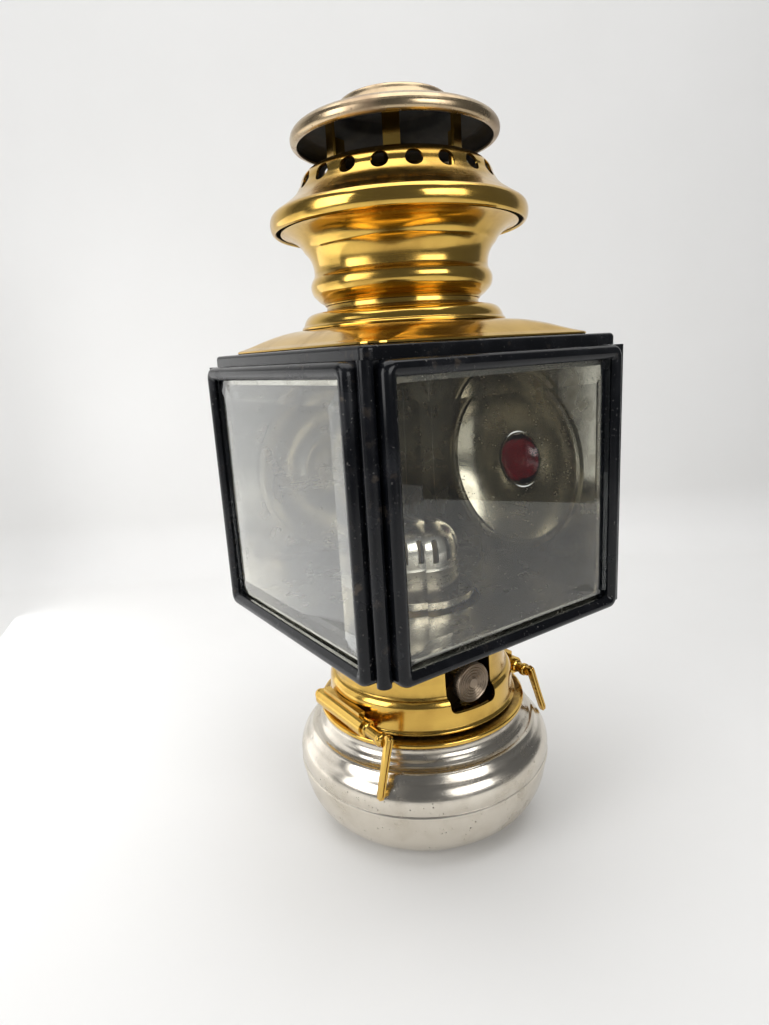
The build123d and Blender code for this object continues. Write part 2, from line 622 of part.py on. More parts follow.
save(to_tail * turned(dish_rim + dish_curve + dish_back + rim_back), "reflector_tail")
closed_dish = dish_rim + dish_curve + dish_peak + peak_back + dish_back + rim_back
save(to_bracket * turned(closed_dish), "reflector_bracket")

# Covers: painted outer covers over the backs of the dishes, flanged against the walls.
cover_foot = [(DISH_R + 2.4, TOUCH), (DISH_R + 2.4, 0.9), (DISH_R + 0.2, 1.0)]
cover_curve = arc_points((DISH_R - 1.0, 2.2), (JEWEL_R + 2.0, DISH_DEPTH + 1.2), 2.0, 8)
cover_peak = [(JEWEL_R - 4, DISH_DEPTH + 1.8), (0, DISH_DEPTH + 2)]
cover_in = [(r - 0.1, z - SHEET) for r, z in reversed(cover_curve)] + [(DISH_R - 1.4, TOUCH)]
peak_in = [(r, z - SHEET) for r, z in reversed(cover_peak)]
save(to_tail * turned(cover_foot + cover_curve + cover_in), "cover_tail")
save(to_bracket * turned(cover_foot + cover_curve + cover_peak + peak_in + cover_in), "cover_bracket")

# Tail jewel: domed red glass held in a turned brass bezel in the dish centre.
jewel_z = DISH_DEPTH - 0.6
jewel_r = JEWEL_R - 0.35
bezel_r = JEWEL_R - 0.3
jewel_line = [(0, jewel_z - 3.4), (JEWEL_R * 0.55, jewel_z - 2.9), (jewel_r, jewel_z - 1.2)]
jewel_line += [(jewel_r, jewel_z + 1.8), (JEWEL_R - 2.4, jewel_z + 3.6)]
jewel_line += [(JEWEL_R * 0.45, jewel_z + 5.2), (0, jewel_z + 5.8)]
save(to_tail * turned(jewel_line), "tail_jewel")
bezel_line = [(bezel_r, jewel_z - 0.9), (JEWEL_R + 0.6, jewel_z - 0.9), (JEWEL_R + 0.6, jewel_z + 2.6)]
bezel_line += [(JEWEL_R, jewel_z + 3.4), (bezel_r, jewel_z + 3.4)]
save(to_tail * turned(bezel_line), "jewel_bezel")

# Bracket strap: a bowed strap over the bracket wall's cover, riveted at both ends.
strap_y = BODY_HALF + DISH_DEPTH + 4
strap_front = strap_y + STRAP_T
foot_y = BODY_HALF + TOUCH
foot_front = BODY_HALF + STRAP_T
foot_low = BODY_Z0 + 1.5
foot_high = BODY_Z1 - 1.0
with BuildPart() as bracket_strap:
    with BuildSketch(Plane.YZ.offset(-STRAP_W / 2)):
        with BuildLine():
            Polyline(
                (foot_y, foot_low), (foot_y, foot_low + 6), (strap_y, foot_low + 17),
                (strap_y, foot_high - 17), (foot_y, foot_high - 6), (foot_y, foot_high),
                (foot_front, foot_high), (foot_front, foot_high - 5.4), (strap_front, foot_high - 16),
                (strap_front, foot_low + 16), (foot_front, foot_low + 5.4), (foot_front, foot_low),
                close=True)
        make_face()
    extrude(amount=STRAP_W)
    with Locations((0, BODY_HALF, DISH_Z)):
        Cylinder(DISH_R + 2.8, 2.4 + 2 * TOUCH, rotation=(90, 0, 0), mode=Mode.SUBTRACT)
save(bracket_strap.part, "bracket_strap")

# Bracket socket: the tube brazed on the strap that takes the bracket's upright prong.
socket_y = strap_front + TOUCH + SOCKET_R + SOCKET_WALL
with BuildPart() as bracket_socket:
    with BuildSketch(Plane.XY.offset(DISH_Z - SOCKET_LEN / 2)):
        with Locations((0, socket_y)):
            Circle(SOCKET_R + SOCKET_WALL)
            Circle(SOCKET_R, mode=Mode.SUBTRACT)
    extrude(amount=SOCKET_LEN)
save(bracket_socket.part, "bracket_socket")
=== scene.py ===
import bpy
import bmesh
import math
from mathutils import Matrix, Vector


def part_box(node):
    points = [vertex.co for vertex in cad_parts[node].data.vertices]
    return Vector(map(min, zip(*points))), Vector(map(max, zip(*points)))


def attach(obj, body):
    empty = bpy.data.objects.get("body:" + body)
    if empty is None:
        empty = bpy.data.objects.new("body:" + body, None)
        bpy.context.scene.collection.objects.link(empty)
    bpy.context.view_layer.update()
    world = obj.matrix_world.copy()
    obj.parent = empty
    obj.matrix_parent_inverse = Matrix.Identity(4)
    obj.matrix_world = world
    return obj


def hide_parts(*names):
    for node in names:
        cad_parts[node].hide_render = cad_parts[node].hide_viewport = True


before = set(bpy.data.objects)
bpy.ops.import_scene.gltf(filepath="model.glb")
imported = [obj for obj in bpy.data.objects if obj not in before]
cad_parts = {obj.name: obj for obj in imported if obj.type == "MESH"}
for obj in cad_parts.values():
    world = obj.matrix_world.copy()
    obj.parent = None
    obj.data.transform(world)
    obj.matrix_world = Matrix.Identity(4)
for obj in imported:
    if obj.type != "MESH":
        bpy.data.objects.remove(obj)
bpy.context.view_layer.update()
mm = 0.001


# Font: the pressed nickelled bowl that holds the oil. The bowl and the shouldered top are spun
# from brass sheet, rolled together at the seam and plated; the plate is yellowed and freckled.

def soften(run, steps=7):
    """A smooth line through the points of one run, ends kept."""
    if len(run) < 3:
        return [Vector(p) for p in run]
    pts = [Vector(p) for p in run]
    pts = [2 * pts[0] - pts[1]] + pts + [2 * pts[-1] - pts[-2]]
    line = []
    for a, b, c, d in zip(pts, pts[1:], pts[2:], pts[3:]):
        for i in range(steps):
            t = i / steps
            line.append(0.5 * ((2 * b) + (c - a) * t + (2 * a - 5 * b + 4 * c - d) * t * t
                               + (3 * b - a - 3 * c + d) * t * t * t))
    return line + [pts[-2]]


def bow(start, end, rise, steps=8):
    """Points on a shallow arc from start to end whose middle stands off the chord by rise."""
    a, b = Vector(start), Vector(end)
    side = Vector((b.y - a.y, a.x - b.x)).normalized()
    spread = [i / steps for i in range(steps + 1)]
    return [a.lerp(b, t) + side * 4 * rise * t * (1 - t) for t in spread]


def turned(name, runs, wall, steps=180, place=None):
    """A turned piece: its outer outline in mm as smooth runs, given a wall inward, or taken as a
    closed outline when wall is 0. The grime attribute is high in hollows and on inner faces."""
    line = []
    for run in runs:
        for p in soften(run):
            if not line or (p - line[-1]).length > 0.02:
                line.append(p)
    inner, hollow = [], []
    for i, p in enumerate(line):
        a, b = line[max(i - 1, 0)], line[min(i + 1, len(line) - 1)]
        way = (b - a).normalized()
        inner.append(Vector((max(p.x - way.y * wall, 0), p.y + way.x * wall)))
        far_a, far_b = line[max(i - 5, 0)], line[min(i + 5, len(line) - 1)]
        chord = far_b - far_a
        depth = ((p - far_a).x * chord.y - (p - far_a).y * chord.x) / max(chord.length, 0.1)
        hollow.append(min(max(-depth * 1.3, 0), 1))
    ring = line + inner[::-1] if wall else line
    grime = hollow + [0.75] * len(inner) if wall else hollow
    mesh = bpy.data.meshes.new(name)
    work = bmesh.new()
    tint = work.verts.layers.float.new("grime")
    rows = []
    for p, g in zip(ring, grime):
        row = []
        for k in range(steps if p.x > 0.01 else 1):
            turn = 2 * math.pi * k / steps
            v = work.verts.new((p.x * mm * math.cos(turn), p.x * mm * math.sin(turn), p.y * mm))
            v[tint] = g
            row.append(v)
        rows.append(row)
    for a, b in zip(rows, rows[1:] + rows[:1]):
        for k in range(steps):
            corners = [a[k % len(a)], a[(k + 1) % len(a)], b[(k + 1) % len(b)], b[k % len(b)]]
            corners = list(dict.fromkeys(corners))
            if len(corners) > 2:
                work.faces.new(corners)
    bmesh.ops.recalc_face_normals(work, faces=work.faces)
    if place:
        bmesh.ops.transform(work, matrix=place, verts=work.verts)
    work.to_mesh(mesh)
    work.free()
    mesh.shade_smooth()
    mesh.set_sharp_from_angle(angle=math.radians(34))
    made = bpy.data.objects.new(name, mesh)
    bpy.context.scene.collection.objects.link(made)
    return made


def add(tree, kind, sockets=None, **settings):
    """A shader node: settings are its options, sockets its values or the outputs that feed them."""
    made = tree.nodes.new(kind)
    for key, value in settings.items():
        setattr(made, key, value)
    for key, value in (sockets or {}).items():
        if isinstance(value, bpy.types.NodeSocket):
            tree.links.new(value, made.inputs[key])
        else:
            made.inputs[key].default_value = value
    return made


def noise(tree, place, scale, detail=3.0):
    return add(tree, "ShaderNodeTexNoise", {"Vector": place, "Scale": scale, "Detail": detail}).outputs[0]


def ranged(tree, value, low, high, out_low=0.0, out_high=1.0):
    made = add(tree, "ShaderNodeMapRange", {0: value, 1: low, 2: high, 3: out_low, 4: out_high})
    return made.outputs[0]


def sums(tree, how, a, b):
    return add(tree, "ShaderNodeMath", {0: a, 1: b}, operation=how, use_clamp=True).outputs[0]


def mixed(tree, share, a, b):
    made = add(tree, "ShaderNodeMix", {0: share, 6: a, 7: b}, data_type="RGBA")
    return made.outputs[2]


def blank(name):
    """A new material with one principled shader on its output."""
    made = bpy.data.materials.new(name)
    made.use_nodes = True
    tree = made.node_tree
    tree.nodes.clear()
    out = add(tree, "ShaderNodeOutputMaterial")
    skin = add(tree, "ShaderNodeBsdfPrincipled")
    tree.links.new(skin.outputs[0], out.inputs[0])
    return made, tree, skin


def metal(name, clean, stained, gloss, patches=0.5, freckles=0.0, scratch=0.12, ripple=0.0,
          dirt=(0.05, 0.03, 0.015)):
    """Worn plate or polished brass: cloudy tarnish, polish lines round the axis, dirt in the hollows."""
    made, tree, skin = blank(name)
    place = add(tree, "ShaderNodeTexCoord").outputs["Object"]
    cloud = ranged(tree, noise(tree, place, 62.0, 6.0), 0.46, 0.72)
    smudge = ranged(tree, noise(tree, place, 190.0, 4.0), 0.5, 0.8)
    grime = add(tree, "ShaderNodeAttribute", attribute_name="grime").outputs["Fac"]
    grime_edge = sums(tree, "MULTIPLY", grime,
                      ranged(tree, noise(tree, place, 420.0, 4.0), 0.25, 0.6, 0.6, 1.0))
    stain = sums(tree, "ADD", sums(tree, "MULTIPLY", cloud, patches),
                 sums(tree, "MULTIPLY", smudge, patches * 0.4))
    colour = mixed(tree, stain, clean + (1,), stained + (1,))
    colour = mixed(tree, sums(tree, "MULTIPLY", grime_edge, 0.85), colour, dirt + (1,))
    lines = add(tree, "ShaderNodeMapping", {"Vector": place, "Scale": (26, 26, 4200)}).outputs[0]
    fine = noise(tree, lines, 1.0, 2.0)
    rough = ranged(tree, sums(tree, "ADD", stain, sums(tree, "MULTIPLY", grime, 0.8)), 0.0, 1.0, gloss,
                   gloss + 0.26)
    rough = sums(tree, "ADD", rough, ranged(tree, fine, 0.35, 0.75, 0.0, 0.05))
    height = sums(tree, "MULTIPLY", fine, 0.5)
    if freckles:
        cells = add(tree, "ShaderNodeTexVoronoi", {"Vector": place, "Scale": 560.0, "Randomness": 1.0})
        spots = ranged(tree, cells.outputs["Distance"], 0.10, 0.26, 1.0, 0.0)
        spots = sums(tree, "MULTIPLY", spots, ranged(tree, noise(tree, place, 150.0, 2.0), 0.52, 0.66))
        colour = mixed(tree, sums(tree, "MULTIPLY", spots, freckles), colour, (0.10, 0.075, 0.05, 1))
        rough = sums(tree, "ADD", rough, sums(tree, "MULTIPLY", spots, 0.35))
        height = sums(tree, "SUBTRACT", height, sums(tree, "MULTIPLY", spots, 0.5))
    if ripple:
        height = sums(tree, "ADD", height, sums(tree, "MULTIPLY", noise(tree, place, 34.0, 1.0), ripple))
    bump = add(tree, "ShaderNodeBump", {"Strength": scratch, "Distance": 0.0002, "Height": height})
    skin.inputs["Metallic"].default_value = 1.0
    tree.links.new(colour, skin.inputs["Base Color"])
    tree.links.new(rough, skin.inputs["Roughness"])
    tree.links.new(bump.outputs[0], skin.inputs["Normal"])
    return made


def finish(obj, material, body, node, lining=None):
    """Gives a made piece its material and its body, and hides the CAD node that it stands for.
    A lining covers the faces that the grime attribute marks as inside."""
    obj.data.materials.clear()
    obj.data.materials.append(material)
    if lining:
        obj.data.materials.append(lining)
        tint = obj.data.attributes["grime"].data
        for face in obj.data.polygons:
            face.material_index = int(min(tint[i].value for i in face.vertices) > 0.7)
    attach(obj, body)
    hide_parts(node)
    return obj


def dress(material, *nodes):
    """Puts a material on CAD nodes whose shape is already right."""
    for n in nodes:
        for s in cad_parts[n].material_slots:
            s.material = material


def top_of(node):
    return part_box(node)[1].z / mm


def low_of(node):
    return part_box(node)[0].z / mm


def half_of(node):
    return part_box(node)[1].x / mm


nickel = metal("aged_nickel", (0.70, 0.65, 0.565), (0.46, 0.40, 0.31), 0.17, 0.55, 0.8, 0.10, 0.10)
font_r = half_of("font_top") - 0.3
seam_z = top_of("font_bowl") + 1.2
foot_r = font_r - 18
bowl = [[(0, 0), (foot_r, 0)],
        [(foot_r, 0)] + bow((foot_r + 1, 0), (font_r - 0.4, seam_z - 1.2), 5.0, 10)]
font_bowl = turned("nickel_font_bowl", bowl, 0.8)
finish(font_bowl, nickel, "font", "font_bowl")

deck_z = top_of("font_top")
step_z = deck_z - 6.9
seam = [(font_r - 1.2, seam_z - 1.1), (font_r, seam_z - 1.0), (font_r + 0.3, seam_z - 0.3),
        (font_r, seam_z + 0.7)]
shoulder = bow((font_r - 0.1, seam_z + 1), (font_r - 3.6, step_z - 3.2), 1.6, 6)
ledge = bow((font_r - 4.6, step_z - 1.6), (font_r - 7.2, step_z), 0.5, 3)
neck = [(font_r - 8.4, step_z + 0.6)] + bow((font_r - 9.4, step_z + 1.6), (font_r - 11.6, deck_z - 1),
                                            -0.7, 4)
deck = [(font_r - 12.4, deck_z - 0.1), (15, deck_z)]
font_top = turned("nickel_font_top",
                  [seam, [seam[-1]] + shoulder + ledge, [ledge[-1]] + neck, [neck[-1]] + deck], 0.8)
finish(font_top, nickel, "font", "font_top")


# Throat ring and font mouth: the turned brass ring soldered on the font deck, with its lower
# bead and the groove for the latch pins, and the threaded collar the burner screws into.

brass = metal("polished_brass", (0.71, 0.455, 0.105), (0.38, 0.205, 0.04), 0.11, 0.5, 0.0, 0.10, 0.25,
              (0.045, 0.026, 0.01))
ring_z = low_of("throat_ring")
ring_top = top_of("throat_ring")
lip_r = half_of("throat_ring")
throat_r = font_r - 15.3
groove_z = ring_z + 6.45
bead = [(lip_r - 1.2, ring_z), (lip_r - 0.2, ring_z + 0.35), (lip_r, ring_z + 1.1),
        (lip_r - 0.3, ring_z + 1.9),
        (lip_r - 1.3, ring_z + 2.2)]
throat = turned("throat_ring_brass", [
    [(throat_r - 3.4, ring_z), (lip_r - 1.2, ring_z)], bead,
    [(lip_r - 1.3, ring_z + 2.2), (throat_r + 0.8, ring_z + 2.2)],
    [(throat_r + 0.8, ring_z + 2.2), (throat_r, ring_z + 2.6)],
    [(throat_r, ring_z + 2.6), (throat_r, groove_z - 2.1)],
    [(throat_r, groove_z - 2.1), (throat_r - 0.8, groove_z - 2.1)],
    [(throat_r - 0.8, groove_z - 2.1), (throat_r - 0.8, groove_z + 2.1)],
    [(throat_r - 0.8, groove_z + 2.1), (throat_r, groove_z + 2.1)],
    [(throat_r, groove_z + 2.1), (throat_r, ring_top - 0.8)],
    [(throat_r, ring_top - 0.8), (throat_r - 0.8, ring_top)],
    [(throat_r - 0.8, ring_top), (throat_r - 3.4, ring_top)]], 0.35)
finish(throat, brass, "font", "throat_ring")
burner_brass = metal("burner_brass", (0.66, 0.50, 0.26), (0.36, 0.25, 0.12), 0.28, 0.6, 0.3)
dress(burner_brass, "burner_collar", "burner_body", "wick_tube", "wick_shaft")


# Burner: gallery ring, skirt and the arched dome that spreads the flame, pressed in thin
# nickelled brass and pushed together; the dome's slots draw air to the wick.

def repeated(obj, piece, count, radius, height, turn=0.0, cut=True):
    """Sets count copies of a piece round the lamp axis by geometry nodes, cut out or added on."""
    tree = bpy.data.node_groups.new(obj.name + "_repeat", "GeometryNodeTree")
    face = tree.interface
    face.new_socket("Geometry", in_out="INPUT", socket_type="NodeSocketGeometry")
    face.new_socket("Piece", in_out="INPUT", socket_type="NodeSocketObject")
    face.new_socket("Count", in_out="INPUT", socket_type="NodeSocketInt")
    for wanted in ("Radius", "Height", "First turn"):
        face.new_socket(wanted, in_out="INPUT", socket_type="NodeSocketFloat")
    face.new_socket("Geometry", in_out="OUTPUT", socket_type="NodeSocketGeometry")
    given = tree.nodes.new("NodeGroupInput").outputs
    order = add(tree, "GeometryNodeInputIndex").outputs[0]
    step = add(tree, "ShaderNodeMath", {0: 2 * math.pi, 1: given["Count"]}, operation="DIVIDE").outputs[0]
    angle = add(tree, "ShaderNodeMath", {0: order, 1: step, 2: given["First turn"]},
                operation="MULTIPLY_ADD")
    angle = angle.outputs[0]
    arm = add(tree, "ShaderNodeCombineXYZ", {0: given["Radius"], 2: given["Height"]}).outputs[0]
    swing = add(tree, "ShaderNodeVectorRotate", {"Vector": arm, "Angle": angle}, rotation_type="Z_AXIS")
    dots = add(tree, "GeometryNodePoints", {"Count": given["Count"], "Position": swing.outputs[0]})
    shape = add(tree, "GeometryNodeObjectInfo", {0: given["Piece"]}).outputs["Geometry"]
    spin = add(tree, "ShaderNodeCombineXYZ", {2: angle}).outputs[0]
    copies = add(tree, "GeometryNodeInstanceOnPoints",
                 {"Points": dots.outputs[0], "Instance": shape, "Rotation": spin}).outputs[0]
    solid = add(tree, "GeometryNodeRealizeInstances", {0: copies}).outputs[0]
    if cut:
        joined = add(tree, "GeometryNodeMeshBoolean", {0: given["Geometry"], 1: solid},
                     operation="DIFFERENCE", solver="MANIFOLD")
    else:
        joined = add(tree, "GeometryNodeJoinGeometry", {0: given["Geometry"]})
        tree.links.new(solid, joined.inputs[0])
    last = add(tree, "GeometryNodeRealizeInstances", {0: joined.outputs[0]}).outputs[0]
    painted = add(tree, "GeometryNodeSetMaterial", {0: last})
    painted.inputs["Material"].default_value = obj.data.materials[0]
    made = tree.nodes.new("NodeGroupOutput")
    tree.links.new(painted.outputs[0], made.inputs[0])
    sockets = {s.name: s.identifier for s in face.items_tree if s.in_out == "INPUT"}
    push = obj.modifiers.new("repeat", "NODES")
    push.node_group = tree
    push[sockets["Piece"]] = piece
    push[sockets["Count"]] = count
    push[sockets["Radius"]] = radius * mm
    push[sockets["Height"]] = height * mm
    push[sockets["First turn"]] = math.radians(turn)
    bpy.context.view_layer.update()
    done = bpy.data.meshes.new_from_object(obj.evaluated_get(bpy.context.evaluated_depsgraph_get()))
    obj.modifiers.clear()
    obj.data = done
    done.shade_smooth()
    done.set_sharp_from_angle(angle=math.radians(34))
    bpy.data.objects.remove(piece)
    return obj


def punch(name, outline, depth, tilt=0.0):
    """A cutter that points along +X: an outline in mm across it, drawn in Y and Z."""
    work = bmesh.new()
    ends = []
    for x in (-depth / 2, depth / 2):
        ends.append([work.verts.new((x * mm, y * mm, z * mm)) for y, z in outline])
    work.faces.new(ends[0])
    work.faces.new(ends[1])
    for i in range(len(outline)):
        j = (i + 1) % len(outline)
        work.faces.new((ends[0][i], ends[0][j], ends[1][j], ends[1][i]))
    bmesh.ops.recalc_face_normals(work, faces=work.faces)
    bmesh.ops.rotate(work, verts=work.verts, matrix=Matrix.Rotation(math.radians(-tilt), 3, "Y"))
    mesh = bpy.data.meshes.new(name)
    work.to_mesh(mesh)
    work.free()
    made = bpy.data.objects.new(name, mesh)
    bpy.context.scene.collection.objects.link(made)
    return made


def disc_outline(radius, points=28):
    return [(radius * math.cos(2 * math.pi * i / points), radius * math.sin(2 * math.pi * i / points))
            for i in range(points)]


gallery_z = low_of("gallery_ring")
gallery_r = half_of("gallery_ring")
skirt_r = half_of("burner_skirt")
gallery = turned("burner_gallery", [
    [(11.5, gallery_z + 0.9), (gallery_r - 1.6, gallery_z + 0.9)],
    [(gallery_r - 1.6, gallery_z + 0.9), (gallery_r - 0.3, gallery_z + 1.3), (gallery_r, gallery_z + 2.3),
     (gallery_r, gallery_z + 4.4)]], 0.7, 120)
gallery.data.materials.append(nickel)
gallery = repeated(gallery, punch("gallery_punch", disc_outline(1.1, 16), 6, 90), 24, skirt_r + 3,
                   gallery_z + 1)
finish(gallery, nickel, "font", "gallery_ring")
skirt_z = low_of("burner_skirt")
dome_z = low_of("burner_dome")
dome_top = top_of("burner_dome") - 0.4
skirt = turned("burner_skirt_sleeve", [
    [(skirt_r, skirt_z + 0.1), (skirt_r, dome_z - 2.4)],
    [(skirt_r, dome_z - 2.4), (skirt_r + 0.25, dome_z - 1.9), (skirt_r, dome_z - 1.4)],
    [(skirt_r, dome_z - 1.4), (skirt_r, dome_z - 0.1)]], 0.7, 120)
finish(skirt, nickel, "font", "burner_skirt")
dome = turned("burner_flame_dome", [
    [(skirt_r, dome_z), (skirt_r, dome_z + 2)] + bow((skirt_r, dome_z + 2.6), (skirt_r - 9, dome_top),
                                                     3.0, 8)
    + [(skirt_r - 12, dome_top + 0.3), (0, dome_top + 0.4)]], 0.7, 144)
dome.data.materials.append(nickel)
arch = [(-1.3, -4.2), (1.3, -4.2)]
arch += [(1.3 * math.cos(a * math.pi / 8), 3.6 + 1.3 * math.sin(a * math.pi / 8)) for a in range(9)]
dome = repeated(dome, punch("arch_punch", arch, 8), 16, skirt_r - 1, dome_z + 5.3, 11.25)
slot_cut = [(-7.6, -2.3), (7.6, -2.3), (7.6, 2.3), (-7.6, 2.3)]
dome = repeated(dome, punch("flame_slot_punch", slot_cut, 8, 90), 1, 2.3, dome_top)
finish(dome, nickel, "font", "burner_dome")


# Wick: a flat woven cotton strip in the wick tube, charred along its top edge.

wick_cloth, tree, skin = blank("wick_cotton")
place = add(tree, "ShaderNodeTexCoord").outputs["Object"]
warp = add(tree, "ShaderNodeTexWave", {"Vector": place, "Scale": 430.0, "Distortion": 1.0},
           bands_direction="Y").outputs["Fac"]
weft = add(tree, "ShaderNodeTexWave", {"Vector": place, "Scale": 520.0, "Distortion": 1.0},
           bands_direction="Z").outputs["Fac"]
height_z = add(tree, "ShaderNodeSeparateXYZ", {0: place}).outputs[2]
char = ranged(tree, height_z, top_of("wick") * mm - 0.004, top_of("wick") * mm - 0.001)
weave = mixed(tree, sums(tree, "MULTIPLY", warp, weft), (0.55, 0.50, 0.40, 1), (0.82, 0.78, 0.68, 1))
tree.links.new(mixed(tree, char, weave, (0.012, 0.010, 0.009, 1)), skin.inputs["Base Color"])
bump = add(tree, "ShaderNodeBump",
           {"Strength": 0.5, "Distance": 0.0003, "Height": sums(tree, "ADD", warp, weft)})
tree.links.new(bump.outputs[0], skin.inputs["Normal"])
skin.inputs["Roughness"].default_value = 0.92
dress(wick_cloth, "wick")


# Thumb wheel: a bronzed disc with a milled edge and turned rings on its face, pinned on the
# end of the wick shaft and reached through the window in the base collar.

def block(name, sx, sy, sz, edge=0.0, place=None):
    """A small rectangular bar in mm with softened edges."""
    work = bmesh.new()
    bmesh.ops.create_cube(work, size=1.0, matrix=Matrix.Diagonal((sx * mm, sy * mm, sz * mm, 1)))
    if edge:
        bmesh.ops.bevel(work, geom=work.edges, offset=edge * mm, segments=2, profile=0.5, affect="EDGES")
    if place:
        bmesh.ops.transform(work, matrix=place, verts=work.verts)
    mesh = bpy.data.meshes.new(name)
    work.to_mesh(mesh)
    work.free()
    made = bpy.data.objects.new(name, mesh)
    bpy.context.scene.collection.objects.link(made)
    return made


bronze = metal("bronzed_brass", (0.34, 0.27, 0.20), (0.15, 0.115, 0.09), 0.30, 0.7, 0.4, 0.35, 0.0,
               (0.02, 0.016, 0.013))
wheel_lo, wheel_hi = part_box("wick_wheel")
wheel_c = (wheel_lo + wheel_hi) / 2 / mm
wheel_face = wheel_lo.y / mm
wheel_r = 7.6
ring_step = 1.15
rings = [[(0, 0.1), (wheel_r, 0.1)], [(wheel_r, 0.1), (wheel_r, 3.0)],
         [(wheel_r, 3.0), (wheel_r - 0.3, 3.5), (wheel_r - 0.9, 3.1)]]
ring_r = wheel_r - 0.9
while ring_r > 2.4:
    rings.append([(ring_r, 3.1), (ring_r - 0.2, 2.85), (ring_r - 0.5, 2.85), (ring_r - 0.8, 3.3),
                  (ring_r - ring_step, 3.1)])
    ring_r -= ring_step
rings.append([(ring_r, 3.1), (ring_r - 0.3, 3.5), (ring_r * 0.4, 3.55), (0, 3.55)])
wheel = turned("thumb_wheel", rings, 0.0, 120)
wheel.data.materials.append(bronze)
wheel = repeated(wheel, block("milled_rib", 0.5, 0.42, 2.5, 0.08), 52, wheel_r + 0.02, 1.6, 0, False)
wheel.data.transform(Matrix.Translation(Vector((wheel_c.x, wheel_face + 3.55,
                                                wheel_c.z)) * mm) @ Matrix.Rotation(math.pi / 2, 4, "X"))
finish(wheel, bronze, "wick_turner", "wick_wheel")


# Base collar: the brass throat of the lantern that drops over the font's ring. It has a window
# for the thumb wheel, a notch at each latch barrel and a soft flare at its mouth.

collar_r = half_of("base_collar") - 0.8
mouth_z = low_of("base_collar")
body_z0 = low_of("corner_post_near")
pin_x = (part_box("latch_pin_tail")[0].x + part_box("latch_pin_tail")[1].x) / 2 / mm
pin_z = (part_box("latch_pin_tail")[0].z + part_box("latch_pin_tail")[1].z) / 2 / mm
collar = turned("base_collar_brass", [
    [(collar_r + 1.9, mouth_z + 0.1), (collar_r + 1.85, mouth_z + 0.6), (collar_r + 1.2, mouth_z + 1.3),
     (collar_r + 0.9, mouth_z + 2.0), (collar_r + 0.75, mouth_z + 6.5), (collar_r + 0.6, mouth_z + 9.4),
     (collar_r + 0.3, mouth_z + 10.8), (collar_r - 0.5, mouth_z + 12.1), (collar_r - 1.6, mouth_z + 13),
     (collar_r - 2.0, mouth_z + 16), (collar_r - 2.3, mouth_z + 24)],
    [(collar_r - 2.3, mouth_z + 24), (collar_r - 2.4, body_z0 - 0.1)]], 0.8, 200)
collar.data.materials.append(brass)
window_half = 10.4
window_shift = 1.5
window_corner = 2.5
window_low = wheel_c.z - 8.6
window_high = wheel_c.z + 10.4
window_mid = (window_low + window_high) / 2
window_h = (window_high - window_low) / 2
window = []
for qx, qz, first in ((1, 1, 0), (-1, 1, 90), (-1, -1, 180), (1, -1, 270)):
    for i in range(7):
        a = math.radians(first + 15 * i)
        window.append((qx * (window_half - window_corner) + window_corner * math.cos(a),
                       qz * (window_h - window_corner) + window_corner * math.sin(a)))
window_cut = punch("wheel_window_punch", window, 16)
window_cut.data.transform(Matrix.Translation((0, (wheel_c.x - window_shift) * mm, 0)))
collar = repeated(collar, window_cut, 1, collar_r, window_mid, -90)
for side in (-1, 1):
    notch = punch("barrel_notch", disc_outline(3.65, 32), 32.1)
    turn_up = Matrix.Translation(Vector((side * pin_x, -1, pin_z)) * mm) @ Matrix.Rotation(math.pi / 2, 4,
                                                            "Z")
    notch.data.transform(turn_up)
    collar = repeated(collar, notch, 1, 0, 0)
finish(collar, brass, "lantern", "base_collar")


# Cam latches: a turned pin in a soldered barrel each side of the collar, with a ball on its back
# end and a flat folded lever riveted on its front end.

def strap_lever(name, length, width, thick, place):
    """A flat lever hanging from its pivot at the origin along -Z, round at both ends."""
    half = width / 2
    outline = [(half * math.cos(math.radians(a)),
                1.7 + half * math.sin(math.radians(a))) for a in range(0, 181, 15)]
    outline += [(-half * 0.8, -length * 0.5), (-half * 0.82, -length + 2.4)]
    outline += [(half * 0.82 * math.cos(math.radians(a)),
                 -length + 2.4 + half * math.sin(math.radians(a)))
                for a in range(195, 346, 15)]
    outline += [(half * 0.82, -length + 2.4), (half * 0.8, -length * 0.5)]
    made = punch(name, outline, thick * 0.42)
    leaves = []
    for x in (-thick * 0.29, thick * 0.29):
        leaf = made.data.copy()
        leaf.transform(Matrix.Translation((x * mm, 0, 0)))
        leaves.append(leaf)
    work = bmesh.new()
    for leaf in leaves:
        work.from_mesh(leaf)
    bmesh.ops.bevel(work, geom=work.edges, offset=0.16 * mm, segments=2, profile=0.5, affect="EDGES")
    fold = Matrix.Translation((0, 0, (-length + 1.2) * mm)) @ Matrix.Diagonal((thick * 0.9 * mm,
                                                            width * 0.6 * mm, 1.2 * mm, 1))
    bmesh.ops.create_cube(work, size=1.0, matrix=fold)
    bmesh.ops.transform(work, matrix=place, verts=work.verts)
    work.to_mesh(made.data)
    work.free()
    made.data.shade_smooth()
    made.data.set_sharp_from_angle(angle=math.radians(40))
    return made


